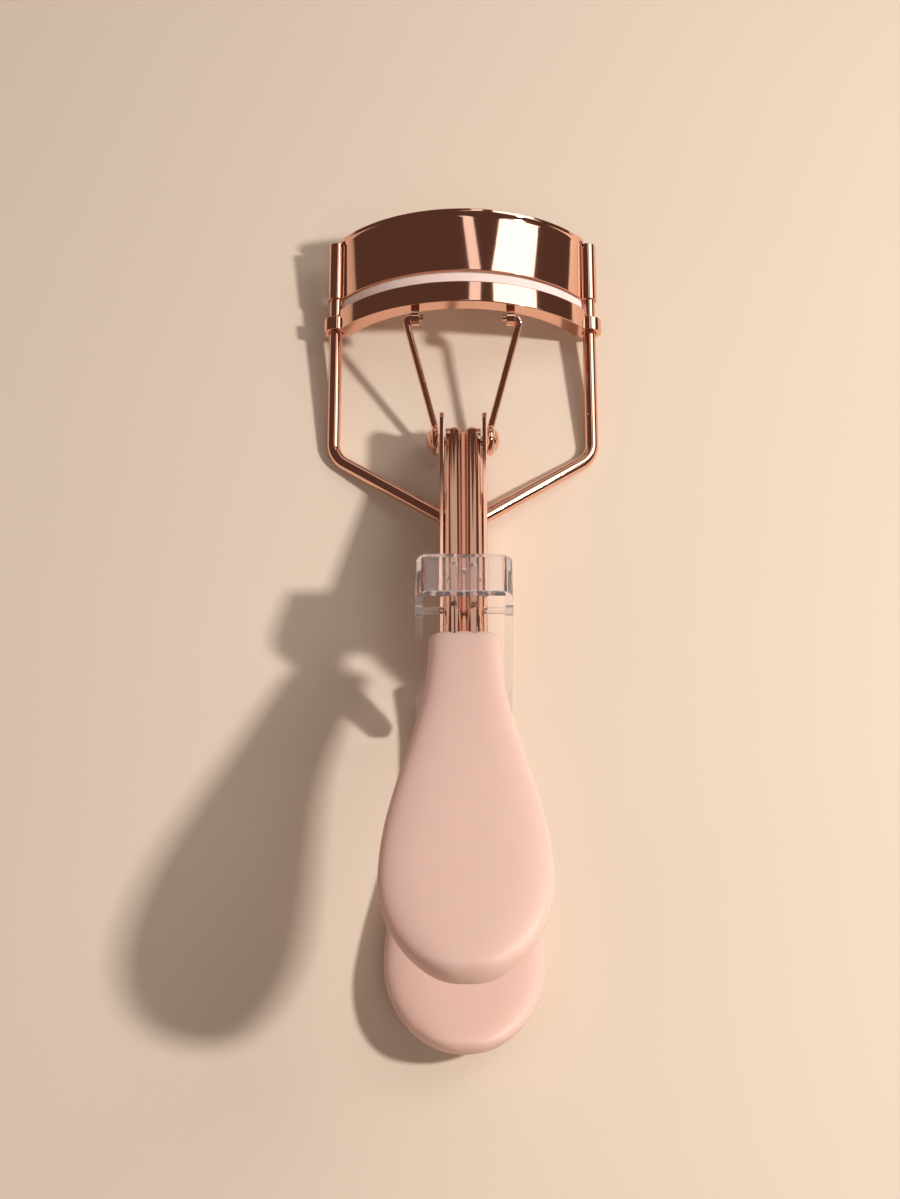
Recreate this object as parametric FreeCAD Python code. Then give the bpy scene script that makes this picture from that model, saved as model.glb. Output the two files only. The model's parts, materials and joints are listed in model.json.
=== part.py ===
# Eyelash curler: a wire frame with a fixed upper plate, a lower jaw that slides on the frame's rails,
# a cranked lever that drives the jaw through two wire links, and two drop-shaped moulded handles.
# Millimetres. X runs across, +Y towards the jaws, +Z up from the surface that the curler lies on.
import FreeCAD, Part
import math
import os

V = FreeCAD.Vector
os.makedirs("parts", exist_ok=True)

# Driving dimensions ---------------------------------------------------------------------------
shift_y = 32.58           # moves the middle of the length to Y = 0
rail_x = 24.3             # half the distance between the rails
rail_radius = 1.25        # frame wire
rail_foot_y = 2.0         # corner where the rails turn in to the shank
corner_rise = 0.17        # the rounded corner's underside, above its sharp point's
rail_tilt = 7.0           # rise of the rails from the surface, degrees
rail_length = 44.5
rail_end = (3.4, -12.0, 4.0)   # where each rail's lower end meets the shank
rail_bend = 5.0

jaw_bulge = 13.0          # how far the jaws bow out of the rails' plane
plate_bottom = 32.6       # heights along the rails
plate_top = 45.4
plate_thickness = 0.8
lip_height = 0.8
lip_reach = 0.5
sleeve_radius = 1.6
jaw_bottom = 25.7
jaw_height = 4.2
jaw_depth = 3.4
jaw_proud = 0.9           # how far the lower jaw stands out beyond the upper plate
pad_width = 2.0
pad_seat = 2.2            # depth of the groove that holds the pad
pad_gap = 0.3             # between the pad and the upper plate, jaws closed
slide_clearance = 0.1
guide_radius = 2.3
guide_height = 2.8

pivot_z = 10.5            # lever pivot, at Y = 0
pivot_radius = 1.0
pivot_head = (1.5, 0.5)   # radius and height of the domed heads
crank_radius = 7.5        # pivot to crank pin
crank_swing = 50.0        # lever's whole swing, degrees
crank_pin_radius = 0.6
crank_head = (2.3, 0.9)
arm_width = 1.7           # half width of the crank arms at the pivot
arm_taper = 0.8
arm_root = 2.5
lever_angle = 16.0        # rise of the closed lever from the surface, degrees
lever_width = 6.4
lever_length = 60.0       # pivot to the tang's end
lever_face = 1.4          # lever's axis to its front face
rib_radius = 1.45
rib_x = 1.65
rib_axis = 1.2            # lever's axis to the ribs' axes
wall_length = 43.0
wall_depth = 2.6
sheet = 0.8               # thickness of the stamped sheet
channel_width = 8.6
channel_end_y = -58.0

link_x = 8.9              # half the distance between the links' upper eyes
link_radius = 0.65
link_bend = 0.85
hook_inner = 1.5          # ends of the hook, either side of the eyelet's middle
hook_outer = 1.9
link_drop = 1.9           # upper eyes below the lower jaw
eye_x = 5.15              # lower eyes, beside the crank
eye_inner = 1.6
eyelet_radius = 1.5
eyelet_width = 1.6
eyelet_depth = 0.9        # eyelets' centres, behind the upper plate's face
eyelet_stem = 1.2

handle_start = 47.0       # pivot to the handle's neck
handle_length = 67.0
handle_neck = 6.0         # half widths of the drop
handle_half = 13.4
handle_thickness = 5.5
handle_bow_radius = 150.0
rear_neck_z = 5.77
rear_rise = 1.4           # degrees
handle_edge = 1.6

clasp_from_pivot = 41.5   # pivot of the lever to the clasp's own pin
clasp_band_start = 32.6
clasp_half = 8.3
clasp_wall = 1.3
clasp_height = 8.5
clasp_front = 4.6         # lever's axis to the band's face
clasp_depth = 6.6
clasp_corner = 2.2
clasp_pin_radius = 0.6
clasp_boss = 3.1
leg_width = 2.6           # half width of the legs
leg_taper = 0.8
nub = (0.7, 2.6, 0.5)
clasp_reach = 19.5
clasp_lean = 47.0         # legs' slope towards the surface, degrees


def polygon_plate(points, x_low, x_high):
    """Flat plate across X whose outline is a list of (y, z) points."""
    corners = [V(x_low, y, z) for y, z in points]
    face = Part.Face(Part.makePolygon(corners + [corners[0]]))
    return face.extrude(V(x_high - x_low, 0, 0))


def cross_pin(radius, x_low, x_high, y, z):
    return Part.makeCylinder(radius, x_high - x_low, V(x_low, y, z), V(1, 0, 0))


def bent_wire(points, radius, bends):
    """Round wire through the points, with an arc of the given radius at each inner point."""
    edges = []
    start = points[0]
    for corner, after, bend in zip(points[1:-1], points[2:], bends):
        inward = (start - corner).normalize()
        outward = (after - corner).normalize()
        half = inward.getAngle(outward) / 2
        back = bend / math.tan(half)
        first = corner + inward * back
        last = corner + outward * back
        bisector = (inward + outward).normalize()
        middle = corner + bisector * (bend / math.sin(half) - bend)
        edges.append(Part.makeLine(start, first))
        edges.append(Part.Arc(first, middle, last).toShape())
        start = last
    edges.append(Part.makeLine(start, points[-1]))
    path = Part.Wire(edges)
    direction = points[1] - points[0]
    profile = Part.Wire(Part.makeCircle(radius, points[0], direction))
    return path.makePipeShell([profile], True, False)


def fuse(shapes):
    return shapes[0].multiFuse(shapes[1:]).removeSplitter()


def rotated(y, z, degrees):
    """Turn the direction (y, z) about +X."""
    turn = math.radians(degrees)
    return (y * math.cos(turn) - z * math.sin(turn), y * math.sin(turn) + z * math.cos(turn))


# The rails' own frame: x across, s along the rails, n out of their plane -----------------------
rail_foot = V(0, rail_foot_y, rail_radius - corner_rise)
rail_turn = FreeCAD.Rotation(V(1, 0, 0), rail_tilt)


def on_rails(x, s, n):
    return rail_foot + rail_turn.multVec(V(x, s, n))


def to_rails(shape):
    placed = shape.copy()
    placed.Placement = FreeCAD.Placement(rail_foot, rail_turn).multiply(shape.Placement)
    return placed


jaw_half = rail_x - 0.5
jaw_radius = (jaw_half ** 2 + jaw_bulge ** 2) / (2 * jaw_bulge)


def bow(offset, x):
    """Height n, over the rails' plane, of the jaws' curve moved in by offset."""
    return math.sqrt((jaw_radius - offset) ** 2 - x ** 2) - jaw_radius + jaw_bulge


def bowed_band(outer, inner, s_low, s_high):
    """Curved strip between two offsets of the jaws' curve, trimmed at the rails' plane."""
    centre = V(0, s_low, jaw_bulge - jaw_radius)
    height = s_high - s_low
    big = Part.makeCylinder(jaw_radius - outer, height, centre, V(0, 1, 0))
    small = Part.makeCylinder(jaw_radius - inner, height, centre, V(0, 1, 0))
    keep = Part.makeBox(2 * rail_x, height, 2 * jaw_bulge, V(-rail_x, s_low, -rail_radius))
    return big.cut(small).common(keep)


def rail_post(radius, side, s_low, s_high):
    return Part.makeCylinder(radius, s_high - s_low, V(side * rail_x, s_low, 0), V(0, 1, 0))


# Frame ------------------------------------------------------------------------------------------
def rail(side):
    """Frame wire: up along the jaws, round the corner and in to the side of the shank."""
    top = on_rails(side * rail_x, rail_length, 0)
    corner = on_rails(side * rail_x, 0, 0)
    foot = V(side * rail_end[0], rail_end[1], rail_end[2])
    wire = bent_wire([top, corner, foot], rail_radius, [rail_bend])
    return wire.cut(channel_block())


def channel_block():
    """Space that the shank's channel fills, so that the rails end on its sides."""
    half = channel_width / 2
    return Part.makeBox(channel_width, 60, 20, V(-half, -59, 0))


def plate_sleeve(side):
    """Short tube brazed round the top of a rail, which the upper plate's end is brazed to."""
    tube = rail_post(sleeve_radius, side, plate_bottom, rail_length)
    return to_rails(tube.cut(rail_post(rail_radius, side, plate_bottom, rail_length)))


def upper_plate():
    """Bowed shield with a narrow lip turned out along its top edge."""
    body = bowed_band(0, plate_thickness, plate_bottom, plate_top)
    lip = bowed_band(-lip_reach, plate_thickness, plate_top - lip_height, plate_top)
    plate = fuse([body, lip])
    for side in (-1, 1):
        plate = plate.cut(rail_post(sleeve_radius, side, plate_bottom - 1, plate_top + 1))
    return to_rails(plate)


def frame_shank():
    """Channel open to the lever, with two ears that carry the pivot, and a tang for the handle."""
    half = channel_width / 2
    outline = [(5.2, 8.0), (5.2, 12.2), (3.6, 13.6), (-3.0, 13.6), (-9.0, 12.4), (-40.0, 8.6),
               (-44.0, 7.4), (channel_end_y, 6.0), (channel_end_y, 4.2), (-44.0, 3.6),
               (-9.0, 2.2), (-5.2, 3.4), (-5.2, 6.6), (-3.0, 7.4), (3.6, 7.4)]
    block = polygon_plate(outline, -half, half)
    hollow_z = [(6.2, 3.0), (6.2, 20.0), (-46.0, 20.0), (-46.0, 4.5), (-8.0, 3.0)]
    hollow = polygon_plate(hollow_z, -half + sheet, half - sheet)
    trim_low = [(-43.0, 0.0), (-43.0, 20.0), (channel_end_y - 1, 20.0), (channel_end_y - 1, 0.0)]
    sides = [polygon_plate(trim_low, side, side + 1.6) for side in (-half - 0.1, half - 1.5)]
    shank = block.cut(hollow).cut(sides[0]).cut(sides[1])
    return shank.cut(cross_pin(pivot_radius, -half - 1, half + 1, 0, pivot_z))


def headed_pin(radius, head_radius, head, half, y, z):
    """Pin across the shank with a domed head at each end."""
    pin = cross_pin(radius, -half, half, y, z)
    pieces = [pin]
    ball_radius = (head_radius ** 2 + head ** 2) / (2 * head)
    for side in (-1, 1):
        ball = Part.makeSphere(ball_radius, V(side * (half + head - ball_radius), y, z))
        low = half if side > 0 else -half - head
        slab = Part.makeBox(head, 20, 20, V(low, y - 10, z - 10))
        pieces.append(ball.common(slab))
    return fuse(pieces)


# Lever ------------------------------------------------------------------------------------------
slide_along = rotated(1, 0, rail_tilt)
towards_surface = rotated(0, -1, rail_tilt)
half_swing = math.radians(crank_swing / 2)
crank_y = crank_radius * (math.cos(half_swing) * towards_surface[0]
                          + math.sin(half_swing) * slide_along[0])
crank_z = pivot_z + crank_radius * (math.cos(half_swing) * towards_surface[1]
                                    + math.sin(half_swing) * slide_along[1])
jaw_travel = 2 * crank_radius * math.sin(half_swing)

lever_turn = FreeCAD.Rotation(V(1, 0, 0), 180 - lever_angle)
lever_origin = V(0, 0, pivot_z)


def to_lever(shape):
    """From the lever's own frame, x across, y down the lever and -z to its front, to the part's."""
    placed = shape.copy()
    placed.Placement = FreeCAD.Placement(lever_origin, lever_turn).multiply(shape.Placement)
    return placed


def arm(x_low, x_high):
    """Crank arm in the part's frame: a strip with round ends from the pivot to the crank pin."""
    along = V(0, crank_y, crank_z - pivot_z).normalize()
    across = V(0, -along.z, along.y) * arm_width
    ends = [V(0, 0, pivot_z), V(0, crank_y, crank_z)]
    narrow = across * arm_taper
    corners = [ends[0] + across, ends[1] + narrow, ends[1] - narrow, ends[0] - across]
    strip = polygon_plate([(p.y, p.z) for p in corners], x_low, x_high)
    eye = cross_pin(arm_width * arm_taper, x_low, x_high, crank_y, crank_z)
    root = cross_pin(arm_root, x_low, x_high, 0, pivot_z)
    return fuse([strip, eye, root])


def lever_shank():
    """Stamped lever: twin ribs along its front, folded sides, crank arms and a tang."""
    half = lever_width / 2
    face = Part.makeBox(lever_width, lever_length + 1, sheet, V(-half, -1.0, -lever_face))
    ribs = []
    for side in (-1, 1):
        rib_end = V(side * rib_x, -0.5, -rib_axis)
        rib = Part.makeCylinder(rib_radius, lever_length, rib_end, V(0, 1, 0))
        tip = Part.makeSphere(rib_radius, rib_end)
        ribs += [rib, tip]
    walls = [Part.makeBox(sheet, wall_length, wall_depth, V(x, 0, -1.0)) for x in (-half, half - sheet)]
    under = Part.makeBox(lever_width, lever_length + 6, 4, V(-half, -4, sheet - lever_face))
    beam = fuse([face] + ribs).cut(under)
    beam = to_lever(fuse([beam] + walls))
    lever = fuse([beam, arm(-half, -half + sheet), arm(half - sheet, half)])
    pivot = cross_pin(pivot_radius + 0.05, -half - 1, half + 1, 0, pivot_z)
    pin = cross_pin(crank_pin_radius, -half - 1, half + 1, crank_y, crank_z)
    clasp_hole = to_lever(cross_pin(clasp_pin_radius, -half - 1, half + 1, clasp_from_pivot, 0))
    return lever.cut(pivot).cut(pin).cut(clasp_hole)


# Handles ----------------------------------------------------------------------------------------
def drop_handle():
    """Drop lying along +y from 0, bowed outwards to -z, with rounded edges."""
    far = handle_length
    wide_at = 0.76 * far
    ends = [V(handle_neck, 0, 0), V(handle_neck + 1.0, 0.2 * far, 0), V(handle_half - 3.6, 0.5 * far, 0),
            V(handle_half, wide_at, 0)]
    side = Part.BSplineCurve()
    side.interpolate(Points=ends, InitialTangent=V(0, 1, 0), FinalTangent=V(0, 1, 0))
    tip = Part.BSplineCurve()
    tip.interpolate(Points=[V(handle_half, wide_at, 0), V(handle_half * 0.72, 0.935 * far, 0), V(0, far, 0)],
                    InitialTangent=V(0, 1, 0), FinalTangent=V(-1, 0, 0))
    half = [side.toShape(), tip.toShape()]
    other = [edge.mirror(V(0, 0, 0), V(1, 0, 0)) for edge in half]
    neck = Part.makeLine(V(-handle_neck, 0, 0), V(handle_neck, 0, 0))
    outline = Part.Wire(Part.__sortEdges__(half + other + [neck]))
    prism = Part.Face(outline).extrude(V(0, 0, 40))
    prism.translate(V(0, 0, -20))
    sagitta = handle_bow_radius - math.sqrt(handle_bow_radius ** 2 - (far / 2) ** 2)
    centre = V(-30, far / 2, handle_bow_radius - sagitta)
    outer = Part.makeCylinder(handle_bow_radius + handle_thickness / 2, 60, centre, V(1, 0, 0))
    inner = Part.makeCylinder(handle_bow_radius - handle_thickness / 2, 60, centre, V(1, 0, 0))
    handle = prism.common(outer.cut(inner))
    solid = [piece for piece in handle.Solids if piece.BoundBox.ZMin < 10][0]
    return solid.makeFillet(handle_edge, solid.Edges)


def front_handle():
    """Handle moulded round the lever's tang."""
    shape = drop_handle()
    shape.translate(V(0, handle_start, 0.5))
    return to_lever(shape).cut(lever_shank())


def rear_handle():
    """Mirror image of the front handle, moulded round the shank's tang."""
    shape = drop_handle().mirror(V(0, 0, 0), V(0, 0, 1))
    turn = FreeCAD.Rotation(V(1, 0, 0), 180 - rear_rise)
    neck = V(0, -handle_start * math.cos(math.radians(lever_angle)), rear_neck_z)
    shape.Placement = FreeCAD.Placement(neck, turn).multiply(shape.Placement)
    return shape.cut(frame_shank())


# Clasp ------------------------------------------------------------------------------------------
def clasp():
    """Clear clip hung on the lever: a band over its front and two legs beside the rear neck."""
    inner = clasp_half - clasp_wall
    y_low = clasp_band_start
    outer_box = Part.makeBox(2 * clasp_half, clasp_height, clasp_depth,
                             V(-clasp_half, y_low, -clasp_front))
    edges = [edge for edge in outer_box.Edges
             if edge.BoundBox.ZMax < sheet - clasp_front and edge.BoundBox.YLength > 1]
    outer_box = outer_box.makeFillet(clasp_corner, edges)
    floor = clasp_wall - clasp_front
    inner_box = Part.makeBox(2 * inner, clasp_height + 2, clasp_depth + 2, V(-inner, y_low - 1, floor))
    band = to_lever(outer_box.cut(inner_box))
    stop = to_lever(Part.makeBox(*nub, V(-nub[0] / 2, y_low, floor)))
    pivot = lever_point(clasp_from_pivot)
    down = rotated(-1, 0, clasp_lean)
    legs = []
    for x in (-clasp_half, inner):
        reach = V(0, down[0], down[1]) * clasp_reach
        across = V(0, down[1], -down[0]) * leg_width
        broad = V(0, down[1], -down[0]) * clasp_boss
        narrow = across * leg_taper
        ends = [pivot + broad, pivot + reach + narrow, pivot + reach - narrow, pivot - broad]
        strip = polygon_plate([(p.y, p.z) for p in ends], x, x + clasp_wall)
        foot = pivot + reach
        tip = cross_pin(leg_width * leg_taper, x, x + clasp_wall, foot.y, foot.z)
        boss = cross_pin(clasp_boss, x, x + clasp_wall, pivot.y, pivot.z)
        legs += [strip, tip, boss]
    hole = cross_pin(clasp_pin_radius + 0.05, -clasp_half - 1, clasp_half + 1, pivot.y, pivot.z)
    return fuse([band, stop] + legs).cut(hole)


def lever_point(distance):
    """Point on the lever's own axis at a distance from the pivot."""
    return lever_origin + lever_turn.multVec(V(0, distance, 0))


# Lower jaw ----------------------------------------------------------------------------------------
def lower_jaw():
    """Bowed channel that carries the pad, trimmed to its guides."""
    top = jaw_bottom + jaw_height
    groove_edge = (jaw_depth - pad_width) / 2 - jaw_proud
    body = bowed_band(-jaw_proud, jaw_depth - jaw_proud, jaw_bottom, top)
    groove = bowed_band(groove_edge, groove_edge + pad_width, top - pad_seat, top + 1)
    jaw = body.cut(groove)
    for side in (-1, 1):
        jaw = jaw.cut(rail_post(guide_radius, side, jaw_bottom - 1, top + 1))
    return to_rails(jaw)


def pad():
    """Soft strip seated in the groove and standing up to the upper plate."""
    groove_edge = (jaw_depth - pad_width) / 2 - jaw_proud
    strip = bowed_band(groove_edge, groove_edge + pad_width, jaw_bottom + jaw_height - pad_seat,
                       plate_bottom - pad_gap)
    for side in (-1, 1):
        strip = strip.cut(rail_post(guide_radius + 0.05, side, jaw_bottom, plate_bottom))
    return to_rails(strip)


def jaw_guide(side):
    """Ring round a rail that the lower jaw slides on."""
    ring = rail_post(guide_radius, side, jaw_bottom, jaw_bottom + guide_height)
    bore = rail_post(rail_radius + slide_clearance, side, jaw_bottom - 1, jaw_bottom + guide_height + 1)
    return to_rails(ring.cut(bore))


def link_pivot(side, x=link_x):
    """Upper eye of a link, under the middle of the jaw's depth."""
    return on_rails(side * x, jaw_bottom - link_drop, bow(0, link_x) - eyelet_depth)


def eyelet(side):
    """Small eye brazed under the lower jaw for a link's hooked end."""
    centre = link_pivot(side)
    x_low = side * link_x - eyelet_width / 2
    ring = cross_pin(eyelet_radius, x_low, x_low + eyelet_width, centre.y, centre.z)
    stem_low = V(x_low, jaw_bottom - link_drop, bow(0, link_x) - eyelet_depth - eyelet_stem / 2)
    stem = to_rails(Part.makeBox(eyelet_width, link_drop, eyelet_stem, stem_low))
    hole = cross_pin(link_radius + 0.08, x_low - 1, x_low + 3, centre.y, centre.z)
    return fuse([ring, stem]).cut(hole)


def link(side):
    """Wire link: hooked through the jaw's eyelet, with a round eye beside the crank."""
    top = link_pivot(side)
    eye = V(side * eye_x, crank_y, crank_z)
    ring_radius = eye_inner + link_radius
    towards_jaw = V(0, top.y - eye.y, top.z - eye.z).normalize()
    points = [link_pivot(side, link_x - hook_inner), link_pivot(side, link_x + hook_outer),
              eye + towards_jaw * ring_radius]
    wire = bent_wire(points, link_radius, [link_bend])
    ring = Part.makeTorus(ring_radius, link_radius, eye, V(1, 0, 0))
    return fuse([wire, ring])


nodes = {
    "left_rail": rail(-1),
    "right_rail": rail(1),
    "left_plate_sleeve": plate_sleeve(-1),
    "right_plate_sleeve": plate_sleeve(1),
    "upper_plate": upper_plate(),
    "frame_shank": frame_shank(),
    "rear_handle": rear_handle(),
    "pivot_pin": headed_pin(pivot_radius, *pivot_head, channel_width / 2, 0, pivot_z),
    "lever_shank": lever_shank(),
    "front_handle": front_handle(),
    "crank_pin": headed_pin(crank_pin_radius, *crank_head, eye_x + 0.8, crank_y, crank_z),
    "clasp_pin": cross_pin(clasp_pin_radius, -clasp_half, clasp_half, lever_point(clasp_from_pivot).y,
                           lever_point(clasp_from_pivot).z),
    "clasp": clasp(),
    "lower_jaw": lower_jaw(),
    "pad": pad(),
    "left_jaw_guide": jaw_guide(-1),
    "right_jaw_guide": jaw_guide(1),
    "left_eyelet": eyelet(-1),
    "right_eyelet": eyelet(1),
    "left_link": link(-1),
    "right_link": link(1),
}

whole = FreeCAD.BoundBox()
for name, shape in nodes.items():
    shape.translate(V(0, shift_y, 0))
    shape.exportStep("parts/" + name + ".step")
    whole.add(shape.BoundBox)
    print(name, shape.isValid(), len(shape.Solids), round(shape.Volume, 1))

print("size", round(whole.XLength, 2), round(whole.YLength, 2), round(whole.ZLength, 2))
print("low", round(whole.XMin, 2), round(whole.YMin, 2), round(whole.ZMin, 2))
print("pivot", shift_y, pivot_z)
print("crank", round(crank_y + shift_y, 3), round(crank_z, 3), "travel", round(jaw_travel, 3))
print("link", round(link_pivot(1).y + shift_y, 3), round(link_pivot(1).z, 3))
print("clasp", round(lever_point(clasp_from_pivot).y + shift_y, 3), round(lever_point(clasp_from_pivot).z, 3))
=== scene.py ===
import bpy
import bmesh
import json
from math import acos, atan2, cos, hypot, pi, radians, sin, sqrt
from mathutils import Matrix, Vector


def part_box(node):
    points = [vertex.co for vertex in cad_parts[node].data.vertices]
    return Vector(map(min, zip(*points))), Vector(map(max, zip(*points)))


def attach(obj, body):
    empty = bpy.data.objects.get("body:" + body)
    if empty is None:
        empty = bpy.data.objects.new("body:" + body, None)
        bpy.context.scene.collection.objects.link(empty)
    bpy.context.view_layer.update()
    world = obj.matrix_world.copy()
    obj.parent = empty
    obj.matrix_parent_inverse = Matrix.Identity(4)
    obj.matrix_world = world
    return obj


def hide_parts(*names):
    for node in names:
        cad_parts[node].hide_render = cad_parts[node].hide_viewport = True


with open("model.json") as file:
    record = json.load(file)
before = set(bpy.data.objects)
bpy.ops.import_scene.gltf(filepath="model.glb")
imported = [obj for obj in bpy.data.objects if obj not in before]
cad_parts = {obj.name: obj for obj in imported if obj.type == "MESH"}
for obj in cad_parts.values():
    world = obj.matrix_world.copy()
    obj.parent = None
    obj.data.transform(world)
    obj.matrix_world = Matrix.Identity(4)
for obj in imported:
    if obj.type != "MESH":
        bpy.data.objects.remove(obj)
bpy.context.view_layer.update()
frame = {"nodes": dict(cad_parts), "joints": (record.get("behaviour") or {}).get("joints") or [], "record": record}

# Frame wires -----------------------------------------------------------------------------------
# The frame's two sides are one gauge of steel wire, bent at the corner, brazed to the shank and cut
# square at the top. Like all the metal they are barrel-polished, then plated in rose gold.


class Socket:
    """A shader socket that takes part in Python arithmetic by adding Math nodes."""

    def __init__(self, shader, socket):
        self.shader = shader
        self.socket = socket

    def math(self, operation, first, second):
        return self.shader.node("ShaderNodeMath", {"operation": operation}, {0: first, 1: second})[0]

    def __add__(self, other):
        return self.math("ADD", self, other)

    def __radd__(self, other):
        return self.math("ADD", other, self)

    def __mul__(self, other):
        return self.math("MULTIPLY", self, other)

    def __rmul__(self, other):
        return self.math("MULTIPLY", other, self)

    def __pow__(self, other):
        return self.math("POWER", self, other)


class Finish:
    """A material under construction: one Principled shader and the nodes that feed it."""

    def __init__(self, name, **constants):
        self.material = bpy.data.materials.new(name)
        self.material.use_nodes = True
        self.tree = self.material.node_tree
        self.shader = self.tree.nodes["Principled BSDF"]
        for socket, value in constants.items():
            self.shader.inputs[socket.replace("_", " ")].default_value = value

    def node(self, kind, settings=(), values=()):
        """Add a node, set its settings, then its sockets, and give its outputs in order."""
        made = self.tree.nodes.new(kind)
        for key, value in dict(settings).items():
            setattr(made, key, value)
        for key, value in dict(values).items():
            if isinstance(value, Socket):
                self.tree.links.new(value.socket, made.inputs[key])
            else:
                made.inputs[key].default_value = value
        return [Socket(self, output) for output in made.outputs if output.enabled]

    def feed(self, socket, value):
        self.tree.links.new(value.socket, self.shader.inputs[socket])

    def noise(self, place, scale, detail=3.0):
        return self.node("ShaderNodeTexNoise", {}, {"Vector": place, "Scale": scale, "Detail": detail})[0]

    def place(self, stretch=(1, 1, 1)):
        """Object coordinates, stretched."""
        coordinates = self.node("ShaderNodeTexCoord")[3]
        return self.node("ShaderNodeMapping", {}, {"Vector": coordinates, "Scale": stretch})[0]

    def blend(self, mask, first, second):
        mixed = self.node("ShaderNodeMix", {"data_type": "RGBA"}, {"Factor": mask})
        mixing = mixed[0].socket.node
        mixing.inputs[6].default_value = (*first, 1)
        mixing.inputs[7].default_value = (*second, 1)
        return mixed[0]

    def bump(self, height, strength, distance):
        normal = self.node("ShaderNodeBump", {}, {"Height": height, "Strength": strength,
                                                  "Distance": distance})[0]
        self.feed("Normal", normal)


def rose_gold_plate():
    finish = Finish("rose_gold_plate", Metallic=1.0, Specular_Tint=(1.0, 0.86, 0.80, 1))
    smudge = finish.noise(finish.place(), 55.0, 4.0)
    haze = finish.noise(finish.place((1, 0.3, 1)), 240.0, 2.0)
    polish = finish.noise(finish.place((1, 0.04, 1)), 5200.0, 2.0)
    finish.feed("Base Color", finish.blend(smudge, (0.93, 0.60, 0.47), (0.84, 0.49, 0.37)))
    finish.feed("Roughness", 0.035 + 0.07 * smudge ** 2.0 + 0.03 * haze)
    finish.bump(polish, 0.05, 0.00002)
    return finish.material


rose_gold = rose_gold_plate()


def finished(mesh, name, body, nodes, material, smooth=35):
    """Make a mesh an object at the origin, shade it, and put it in place of its nodes."""
    piece = bpy.data.objects.new(name, mesh)
    bpy.context.scene.collection.objects.link(piece)
    mesh.materials.clear()
    mesh.materials.append(material)
    for face in mesh.polygons:
        face.use_smooth = True
    mesh.set_sharp_from_angle(angle=radians(smooth))
    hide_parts(*nodes)
    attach(piece, body)
    return piece


corner_steps = 14
wire_sides = 28
eye_steps = 48
no_eye = 0.00001                                          # radius that closes up to a point
weld = 0.000002


def bent_wire_tree():
    """Geometry nodes: round wire along a curve, with rounded corners and an eye at its end."""
    tree = bpy.data.node_groups.new("bent_wire", "GeometryNodeTree")
    face = tree.interface
    face.new_socket("Curve", in_out="INPUT", socket_type="NodeSocketGeometry")
    for name in ("Wire Radius", "Corner Radius", "Eye Radius"):
        face.new_socket(name, in_out="INPUT", socket_type="NodeSocketFloat")
    face.new_socket("Eye Centre", in_out="INPUT", socket_type="NodeSocketVector")
    face.new_socket("Material", in_out="INPUT", socket_type="NodeSocketMaterial")
    face.new_socket("Wire", in_out="OUTPUT", socket_type="NodeSocketGeometry")
    made = {name: tree.nodes.new(kind) for name, kind in (
        ("in", "NodeGroupInput"), ("out", "NodeGroupOutput"), ("fillet", "GeometryNodeFilletCurve"),
        ("section", "GeometryNodeCurvePrimitiveCircle"), ("eye", "GeometryNodeCurvePrimitiveCircle"),
        ("place", "GeometryNodeTransform"), ("join", "GeometryNodeJoinGeometry"),
        ("sweep", "GeometryNodeCurveToMesh"), ("real", "GeometryNodeRealizeInstances"),
        ("coat", "GeometryNodeSetMaterial"))}
    made["fillet"].mode = "POLY"
    made["fillet"].inputs["Count"].default_value = corner_steps
    made["fillet"].inputs["Limit Radius"].default_value = True
    made["section"].inputs["Resolution"].default_value = wire_sides
    made["eye"].inputs["Resolution"].default_value = eye_steps
    made["place"].inputs["Rotation"].default_value = (0, pi / 2, 0)
    made["sweep"].inputs["Fill Caps"].default_value = True
    for source, output, target, socket in (
            ("in", "Curve", "fillet", "Curve"), ("in", "Corner Radius", "fillet", "Radius"),
            ("in", "Wire Radius", "section", "Radius"), ("in", "Eye Radius", "eye", "Radius"),
            ("eye", "Curve", "place", "Geometry"), ("in", "Eye Centre", "place", "Translation"),
            ("fillet", "Curve", "join", "Geometry"), ("place", "Geometry", "join", "Geometry"),
            ("join", "Geometry", "sweep", "Curve"), ("section", "Curve", "sweep", "Profile Curve"),
            ("sweep", "Mesh", "real", "Geometry"), ("real", "Geometry", "coat", "Geometry"),
            ("in", "Material", "coat", "Material"), ("coat", "Geometry", "out", "Wire")):
        tree.links.new(made[source].outputs[output], made[target].inputs[socket])
    return tree


wire_tree = bent_wire_tree()


def wire_mesh(name, points, wire_radius, corner_radius, eye_radius=no_eye, eye_centre=None):
    """Run the wire tree on a path and give the plain mesh."""
    curve = bpy.data.curves.new(name + "_path", "CURVE")
    curve.dimensions = "3D"
    spline = curve.splines.new("POLY")
    spline.points.add(len(points) - 1)
    for point, place in zip(spline.points, points):
        point.co = (*place, 1)
    path = bpy.data.objects.new(name + "_path", curve)
    bpy.context.scene.collection.objects.link(path)
    modifier = path.modifiers.new("wire", "NODES")
    modifier.node_group = wire_tree
    values = {"Wire Radius": wire_radius, "Corner Radius": corner_radius, "Eye Radius": eye_radius,
              "Eye Centre": tuple(eye_centre or points[-1]), "Material": rose_gold}
    for item in wire_tree.interface.items_tree:
        if item.in_out == "INPUT" and item.name in values:
            modifier[item.identifier] = values[item.name]
    shown = path.evaluated_get(bpy.context.evaluated_depsgraph_get())
    mesh = bpy.data.meshes.new_from_object(shown)
    path.modifiers.remove(modifier)
    bpy.data.objects.remove(path)
    shape = bmesh.new()
    shape.from_mesh(mesh)
    bmesh.ops.remove_doubles(shape, verts=shape.verts, dist=weld)
    bmesh.ops.recalc_face_normals(shape, faces=shape.faces)
    shape.to_mesh(mesh)
    shape.free()
    return mesh


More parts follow.
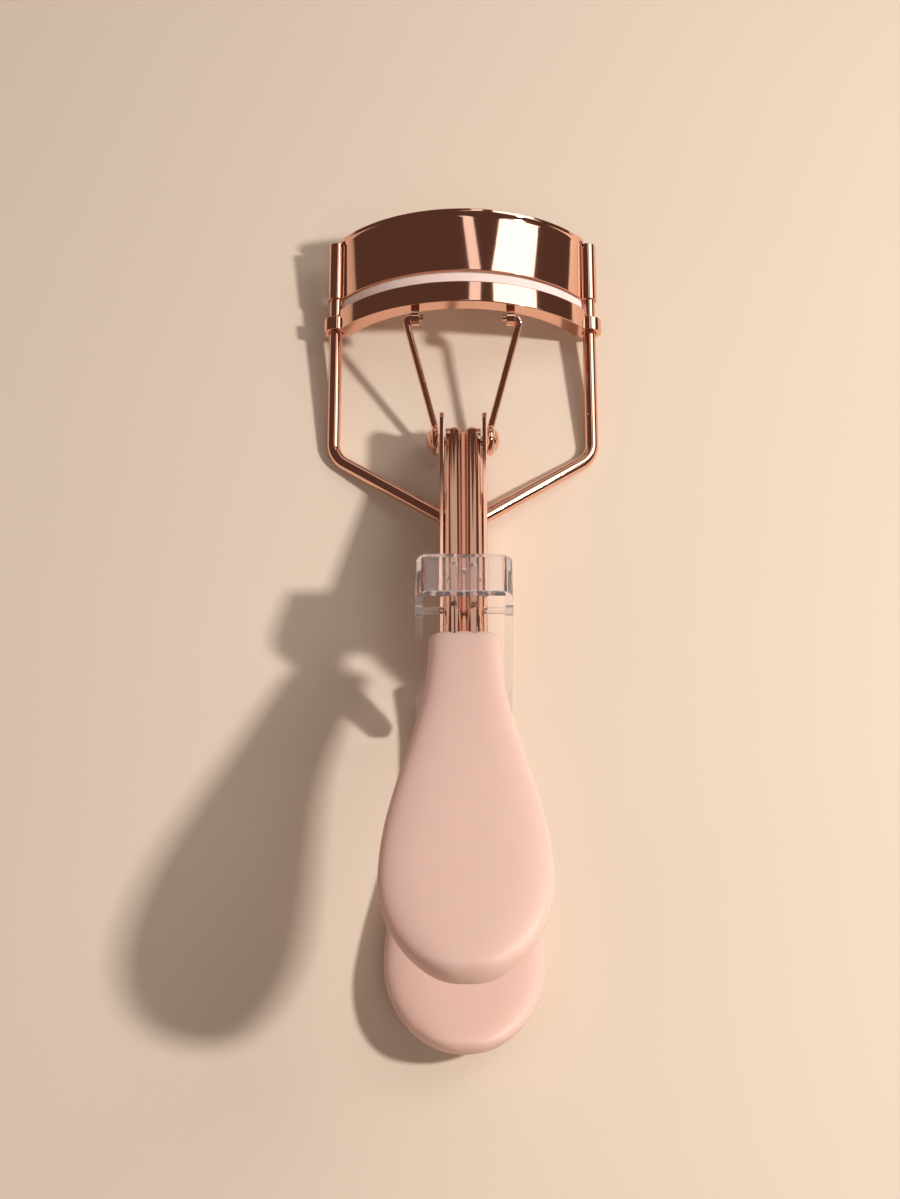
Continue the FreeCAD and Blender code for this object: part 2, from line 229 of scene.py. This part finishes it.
joints = {joint["name"]: joint for joint in frame["joints"]}
mounts = {mount["name"]: mount for mount in frame["record"]["mounts"]}
rail_gap = mounts["rail_end"]["pos_m"][0]                 # half the distance between the rails
rail_axis = Vector(mounts["rail_end"]["axis"])
rail_normal = Vector((0, -rail_axis.z, rail_axis.y))
rail_length = 0.0445
rail_gauge = 0.00125
rail_bend = 0.005
foot_height = 0.0039                                      # where a rail meets the shank
foot_inset = 0.7                                          # of the wire's radius, from its lowest Y
foot_overlap = 0.0002                                     # into the shank's side
rail_corner = Vector((0, *mounts["rail_end"]["pos_m"][1:])) - rail_axis * rail_length


def on_rails(x, s, n):
    """Point at x across, s up the rails from their corner and n out of their plane."""
    return rail_corner + Vector((x, 0, 0)) + rail_axis * s + rail_normal * n


shank_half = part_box("frame_shank")[1].x
for side, name in ((-1, "left_rail"), (1, "right_rail")):
    foot_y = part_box(name)[0].y + rail_gauge * foot_inset
    route = [on_rails(side * rail_gap, rail_length, 0), on_rails(side * rail_gap, 0, 0),
             Vector((side * (shank_half - foot_overlap), foot_y, foot_height))]
    finished(wire_mesh(name, route, rail_gauge, rail_bend), name + "_wire", "frame", [name],
             rose_gold)

# Stamped and turned steel ----------------------------------------------------------------------
# The shank's channel, the ribbed lever, the brazed sleeves, guides and eyelets and the headed pins
# are stamped or turned, tumbled until their edges are round, and plated with the rest.


flat_angle = radians(0.8)                                 # faces that meet at less are one face


def tumbled(node, body, edge, material=rose_gold, smooth=30):
    """A merged copy of a node whose edges are rounded."""
    mesh = frame["nodes"][node].data.copy()
    shape = bmesh.new()
    shape.from_mesh(mesh)
    bmesh.ops.remove_doubles(shape, verts=shape.verts, dist=2 * weld)
    bmesh.ops.dissolve_limit(shape, angle_limit=flat_angle, verts=shape.verts, edges=shape.edges)
    shape.to_mesh(mesh)
    shape.free()
    piece = finished(mesh, node + "_finished", body, [node], material, smooth)
    bevel = piece.modifiers.new("tumbled", "BEVEL")
    bevel.width = edge
    bevel.segments = 3
    bevel.limit_method = "ANGLE"
    bevel.angle_limit = radians(smooth)
    bevel.harden_normals = True
    return piece


for node, body, edge in (
        ("frame_shank", "frame", 0.00016), ("left_plate_sleeve", "frame", 0.0001),
        ("right_plate_sleeve", "frame", 0.0001), ("pivot_pin", "frame", 0.00006),
        ("lever_shank", "lever", 0.00012), ("crank_pin", "lever", 0.00006),
        ("left_jaw_guide", "jaw", 0.0002), ("right_jaw_guide", "jaw", 0.0002),
        ("left_eyelet", "jaw", 0.00008), ("right_eyelet", "jaw", 0.00008)):
    tumbled(node, body, edge)

# Upper plate -----------------------------------------------------------------------------------
# A strip of sheet steel rolled to the eyelid's curve, with its top edge turned out to a narrow lip
# so that it can't cut the skin. Its ends are brazed to the sleeves on the rails.

rail_inset = 0.0005                                       # the bow's ends, inside the rails' axes
jaw_half = rail_gap - rail_inset
jaw_bulge = 0.013
jaw_radius = (jaw_half ** 2 + jaw_bulge ** 2) / (2 * jaw_bulge)
bow_centre = jaw_bulge - jaw_radius                       # out of the rails' plane


def end_turn(radius, post):
    """Angle round the bow where an arc meets a round post on the rail, or the rails' back."""
    span = hypot(rail_gap, bow_centre)
    meeting = (radius ** 2 + span ** 2 - post ** 2) / (2 * radius * span)
    if meeting < 1:
        return atan2(rail_gap, -bow_centre) - acos(meeting)
    return acos((-bow_centre - rail_gauge) / radius)


def bowed_strip(name, profile, post, steps=96):
    """Sweep a closed profile of (offset in, height) points round the bow, from post to post."""
    mesh = bpy.data.meshes.new(name)
    shape = bmesh.new()
    rings = []
    for step in range(steps + 1):
        share = 2 * step / steps - 1
        ring = []
        for inward, height in profile:
            radius = jaw_radius - inward
            turn = share * end_turn(radius, post)
            n = radius * cos(turn) + bow_centre
            ring.append(shape.verts.new(on_rails(radius * sin(turn), height, n)))
        rings.append(ring)
    count = len(profile)
    for near, far in zip(rings, rings[1:]):
        for index in range(count):
            after = (index + 1) % count
            shape.faces.new((near[index], near[after], far[after], far[index]))
    shape.faces.new(rings[0])
    shape.faces.new(reversed(rings[-1]))
    bmesh.ops.recalc_face_normals(shape, faces=shape.faces)
    shape.to_mesh(mesh)
    shape.free()
    return mesh


def softened(piece, width, segments=3):
    bevel = piece.modifiers.new("softened", "BEVEL")
    bevel.width = width
    bevel.segments = segments
    bevel.limit_method = "ANGLE"
    bevel.angle_limit = radians(32)
    bevel.harden_normals = True
    return piece


plate_low = 0.0326
plate_high = 0.0454
sleeve_radius = 0.0016
sheet = 0.0008
lip = 0.0005
lip_low = plate_high - 0.0007
lip_start = plate_high - 0.0016
lip_turn = plate_high - 0.0010
seated = 0.0001                                           # how far an end sinks into its post
plate_profile = [(0, plate_low), (0, lip_start), (-lip * 0.35, lip_turn), (-lip, lip_low),
                 (-lip, plate_high), (sheet, plate_high), (sheet, plate_low)]
plate_strip = bowed_strip("upper_plate_strip", plate_profile, sleeve_radius - seated)
plate = finished(plate_strip, "upper_plate_strip", "frame", ["upper_plate"], rose_gold, 40)
softened(plate, 0.00018)

# Lower jaw -------------------------------------------------------------------------------------
# A rolled channel, open upwards, that carries the pad. Its ends are brazed to the two guides that
# slide on the rails, and two eyelets under it take the links.

jaw_low = 0.0257
jaw_high = jaw_low + 0.0042
guide_radius = 0.0023
jaw_depth = 0.0034
jaw_front = -0.0009
groove = 0.0020
groove_front = (jaw_depth - groove) / 2 + jaw_front
groove_depth = 0.0022
groove_floor = jaw_high - groove_depth
jaw_profile = [(jaw_front, jaw_low), (jaw_front, jaw_high), (groove_front, jaw_high),
               (groove_front, groove_floor), (groove_front + groove, groove_floor),
               (groove_front + groove, jaw_high), (jaw_front + jaw_depth, jaw_high),
               (jaw_front + jaw_depth, jaw_low)]
jaw_strip = bowed_strip("lower_jaw_channel", jaw_profile, guide_radius - seated)
jaw = finished(jaw_strip, "lower_jaw_channel", "jaw", ["lower_jaw"], rose_gold, 40)
softened(jaw, 0.00022)

# Pad -------------------------------------------------------------------------------------------
# A strip of pale pink silicone pressed into the jaw's channel. It is moulded with a domed top, and
# has the soft, slightly dusty skin that such rubber has.


def silicone_skin():
    finish = Finish("silicone_skin", Subsurface_Weight=0.35, Subsurface_Scale=0.0012,
                    Subsurface_Radius=(1.0, 0.45, 0.35), Specular_IOR_Level=0.35)
    cloud = finish.noise(finish.place(), 180.0, 3.0)
    grain = finish.noise(finish.place(), 6000.0, 2.0)
    finish.feed("Base Color", finish.blend(cloud, (0.93, 0.72, 0.69), (0.96, 0.79, 0.75)))
    finish.feed("Roughness", 0.46 + 0.16 * cloud)
    finish.bump(grain, 0.12, 0.00003)
    return finish.material


pad_gap = 0.0003                                          # to the upper plate, jaws closed
pad_slack = 0.00005
dome = 0.0007
dome_steps = 8
pad_front = groove_front + pad_slack
pad_back = groove_front + groove - pad_slack
pad_middle = (pad_front + pad_back) / 2
pad_half = (pad_back - pad_front) / 2
pad_floor = groove_floor + pad_slack
shoulder = plate_low - pad_gap - dome
pad_profile = [(pad_front, pad_floor), (pad_front, shoulder)]
for step in range(1, dome_steps):
    swing = pi * step / dome_steps
    pad_profile.append((pad_middle - pad_half * cos(swing), shoulder + dome * sin(swing)))
pad_profile += [(pad_back, shoulder), (pad_back, pad_floor)]
pad_strip = bowed_strip("pad_strip", pad_profile, guide_radius + seated)
finished(pad_strip, "pad_strip", "jaw", ["pad"], silicone_skin(), 50)

# Links -----------------------------------------------------------------------------------------
# Two lengths of thin steel wire. Each is hooked sideways through its eyelet under the jaw, and its
# other end is a round eye that hangs on the crank's pin, beside the ear.

link_gauge = 0.00065
link_bend = 0.00085
link_across = 0.0089                                      # the eyelets' middles
hook_inner = 0.0015
hook_outer = 0.0019
eye_across = 0.00515
eye_radius = 0.0016 + link_gauge                          # to the middle of the wire
crank_low, crank_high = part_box("crank_pin")
crank_middle = (crank_low + crank_high) / 2
hook = Vector(joints["link_swing"]["pos_m"])
for side, node in ((-1, "left_link"), (1, "right_link")):
    eye = Vector((side * eye_across, crank_middle.y, crank_middle.z))
    towards_jaw = Vector((0, hook.y - eye.y, hook.z - eye.z)).normalized()
    route = [Vector((side * (link_across - hook_inner), hook.y, hook.z)),
             Vector((side * (link_across + hook_outer), hook.y, hook.z)), eye + towards_jaw * eye_radius]
    mesh = wire_mesh(node, route, link_gauge, link_bend, eye_radius, eye)
    finished(mesh, node + "_wire", "links", [node], rose_gold)

# Handles ---------------------------------------------------------------------------------------
# Two drops of frosted pink plastic, moulded round the tangs of the shank and the lever. The light
# sinks a little way into them, and their satin skin comes from the mould.


def frosted_plastic():
    finish = Finish("frosted_plastic", Subsurface_Weight=0.55, Subsurface_Scale=0.004,
                    Subsurface_Radius=(1.0, 0.55, 0.5), IOR=1.47, Coat_Weight=0.12,
                    Coat_Roughness=0.42, Specular_IOR_Level=0.42)
    cloud = finish.noise(finish.place(), 38.0, 3.0)
    flow = finish.noise(finish.place((1.0, 0.15, 1.0)), 900.0, 2.0)
    satin = finish.noise(finish.place(), 9000.0, 2.0)
    finish.feed("Base Color", finish.blend(cloud, (0.75, 0.515, 0.45), (0.79, 0.575, 0.505)))
    finish.feed("Roughness", 0.40 + 0.12 * cloud + 0.05 * flow)
    finish.bump(satin + 0.4 * flow, 0.10, 0.00002)
    return finish.material


frosted = frosted_plastic()
drop_length = 0.067
drop_neck = 0.0060
drop_half = 0.0134
drop_thick = 0.0055
drop_bow = 0.150
widest = 0.76                                             # share of the length
swell_lag = 1.25
tip_inset = 0.006
edge_radius = 0.0018
edge_share = 0.9                                          # of the edge's rounding, taken off the width
squareness = (0.62, 0.72)                                 # of the section, across and through
drop_rows = 72
drop_around = 56


def drop_width(share):
    """Half width at a share of the length: a neck that swells to a round end."""
    if share < widest:
        swell = 0.5 - 0.5 * cos(pi * (share / widest) ** swell_lag)
        return drop_neck + (drop_half - drop_neck) * swell
    return drop_half * sqrt(max(0.0, 1 - ((share - widest) / (1 - widest)) ** 2))


def edge_round(distance, radius):
    """Share of the full thickness left at a distance in from a rounded end."""
    if distance >= radius:
        return 1.0
    return sqrt(max(0.0, 1 - (1 - distance / radius) ** 2))


def drop_mesh(name, start, along, outward, lift):
    """Loft rings of the drop's section down its bowed middle line."""
    mesh = bpy.data.meshes.new(name)
    shape = bmesh.new()
    sagitta = drop_bow - sqrt(drop_bow ** 2 - (drop_length / 2) ** 2)
    rings = []
    for row in range(drop_rows + 1):
        share = 0.5 - 0.5 * cos(pi * (tip_inset + (1 - 2 * tip_inset) * row / drop_rows))
        distance = share * drop_length
        bow_out = sqrt(drop_bow ** 2 - (distance - drop_length / 2) ** 2) - drop_bow + sagitta + lift
        neck_round = edge_round(distance, edge_radius)
        half = drop_width(share) - edge_radius * (1 - neck_round) * edge_share
        thick = drop_thick / 2 * neck_round * edge_round(drop_length - distance, edge_radius)
        ring = []
        for index in range(drop_around):
            turn = 2 * pi * index / drop_around
            across = cos(turn)
            up = sin(turn)
            x = half * abs(across) ** squareness[0] * (1 if across > 0 else -1)
            n = thick * abs(up) ** squareness[1] * (1 if up > 0 else -1)
            ring.append(shape.verts.new(start + Vector((x, 0, 0)) + along * distance
                                        + outward * (bow_out + n)))
        rings.append(ring)
    for near, far in zip(rings, rings[1:]):
        for index in range(drop_around):
            after = (index + 1) % drop_around
            shape.faces.new((near[index], near[after], far[after], far[index]))
    shape.faces.new(rings[0])
    shape.faces.new(reversed(rings[-1]))
    bmesh.ops.recalc_face_normals(shape, faces=shape.faces)
    shape.to_mesh(mesh)
    shape.free()
    return mesh


pivot = Vector(joints["lever_open"]["pos_m"])
lever_rise = radians(16.0)
lever_along = Vector((0, -cos(lever_rise), sin(lever_rise)))
lever_out = Vector((0, sin(lever_rise), cos(lever_rise)))
handle_from_pivot = 0.047
front_start = pivot + lever_along * handle_from_pivot
front_sink = -0.0005                                      # towards the lever's back
front_drop = drop_mesh("front_drop", front_start, lever_along, lever_out, front_sink)
finished(front_drop, "front_handle_drop", "lever", ["front_handle"], frosted, 60)
rear_rise = radians(1.4)
rear_neck_height = 0.00577
rear_start = Vector((0, front_start.y, rear_neck_height))
rear_along = Vector((0, -cos(rear_rise), sin(rear_rise)))
rear_out = Vector((0, -sin(rear_rise), -cos(rear_rise)))
rear_drop = drop_mesh("rear_drop", rear_start, rear_along, rear_out, 0)
finished(rear_drop, "rear_handle_drop", "frame", ["rear_handle"], frosted, 60)

# Clasp -----------------------------------------------------------------------------------------
# A clear moulded clip that hangs on a pin through the lever. Its band lies over the lever's ribs and
# its legs reach down beside the rear handle's neck.


def clear_plastic():
    finish = Finish("clear_plastic", Transmission_Weight=0.94, IOR=1.46, Specular_IOR_Level=0.55)
    haze = finish.noise(finish.place(), 260.0, 3.0)
    ripple = finish.noise(finish.place((1.0, 0.5, 1.0)), 420.0, 2.0)
    finish.feed("Base Color", finish.blend(haze, (0.96, 0.95, 0.97), (1.0, 0.99, 1.0)))
    finish.feed("Roughness", 0.02 + 0.05 * haze ** 2.0)
    finish.bump(ripple, 0.12, 0.0001)
    return finish.material


clear = clear_plastic()
tumbled("clasp", "clasp", 0.00035, clear, 28)
tumbled("clasp_pin", "lever", 0.0001, clear, 28)

# Studio ----------------------------------------------------------------------------------------
# A plain pale floor, a small key light on the right for the shadows, cards that the plated jaws and
# lever mirror, two fills that the metal doesn't mirror, and a camera over the handles' end.


def pale_floor():
    finish = Finish("pale_floor", Specular_IOR_Level=0.2)
    tone = finish.noise(finish.place(), 9.0, 3.0)
    finish.feed("Base Color", finish.blend(tone, (0.78, 0.665, 0.55), (0.81, 0.695, 0.58)))
    finish.feed("Roughness", 0.85 + 0.1 * tone)
    return finish.material


floor_mesh = bpy.data.meshes.new("floor")
floor_reach = 3.0
floor_corners = [(-floor_reach, -floor_reach, 0), (floor_reach, -floor_reach, 0),
                 (floor_reach, floor_reach, 0), (-floor_reach, floor_reach, 0)]
floor_mesh.from_pydata(floor_corners, [], [(0, 1, 2, 3)])
floor_mesh.materials.append(pale_floor())
floor = bpy.data.objects.new("floor", floor_mesh)
bpy.context.scene.collection.objects.link(floor)


lamp_white = (1.0, 0.95, 0.89)
card_white = (1.0, 0.93, 0.86)
lit_point = Vector((0, 0.03, 0.01))


def softbox(name, place, size, power, colour=lamp_white, mirrored=True):
    light = bpy.data.lights.new(name, "AREA")
    light.shape = "RECTANGLE"
    light.size, light.size_y = size
    light.energy = power
    light.color = colour
    lamp = bpy.data.objects.new(name, light)
    lamp.location = place
    lamp.rotation_euler = (lit_point - Vector(place)).to_track_quat("-Z", "Y").to_euler()
    lamp.visible_glossy = mirrored
    bpy.context.scene.collection.objects.link(lamp)


softbox("key_box", (0.46, -0.085, 0.47), (0.05, 0.05), 3.6)
softbox("key_card", (0.43, 0.23, 0.485), (0.36, 0.36), 1.0)
softbox("strip_box", (0.06, 0.19, 0.55), (0.07, 0.40), 0.09)
softbox("back_card", (0.0, 0.75, 0.45), (1.1, 0.35), 0.6, card_white)
softbox("fill_box", (-0.75, -0.15, 0.85), (0.9, 0.9), 1.5, mirrored=False)
softbox("front_box", (0.25, -0.65, 0.75), (0.5, 0.5), 0.9, mirrored=False)

world = bpy.data.worlds.new("studio")
world.use_nodes = True
world.node_tree.nodes["Background"].inputs["Color"].default_value = (0.095, 0.052, 0.040, 1)
world.node_tree.nodes["Background"].inputs["Strength"].default_value = 1.0
bpy.context.scene.world = world

camera_data = bpy.data.cameras.new("camera")
camera_data.lens = 62.8
camera_data.clip_start = 0.01
camera = bpy.data.objects.new("camera", camera_data)
camera_lean = radians(26.0)                               # from straight above, towards the handles
camera_distance = 0.370
aim = Vector((-0.0024, 0.0006, 0.010))
back = Vector((0, -sin(camera_lean), cos(camera_lean)))
camera.location = aim + back * camera_distance
camera.rotation_euler = (-back).to_track_quat("-Z", "Y").to_euler()
bpy.context.scene.collection.objects.link(camera)
bpy.context.scene.camera = camera
bpy.context.scene.view_settings.view_transform = "Standard"
bpy.context.scene.view_settings.look = "None"
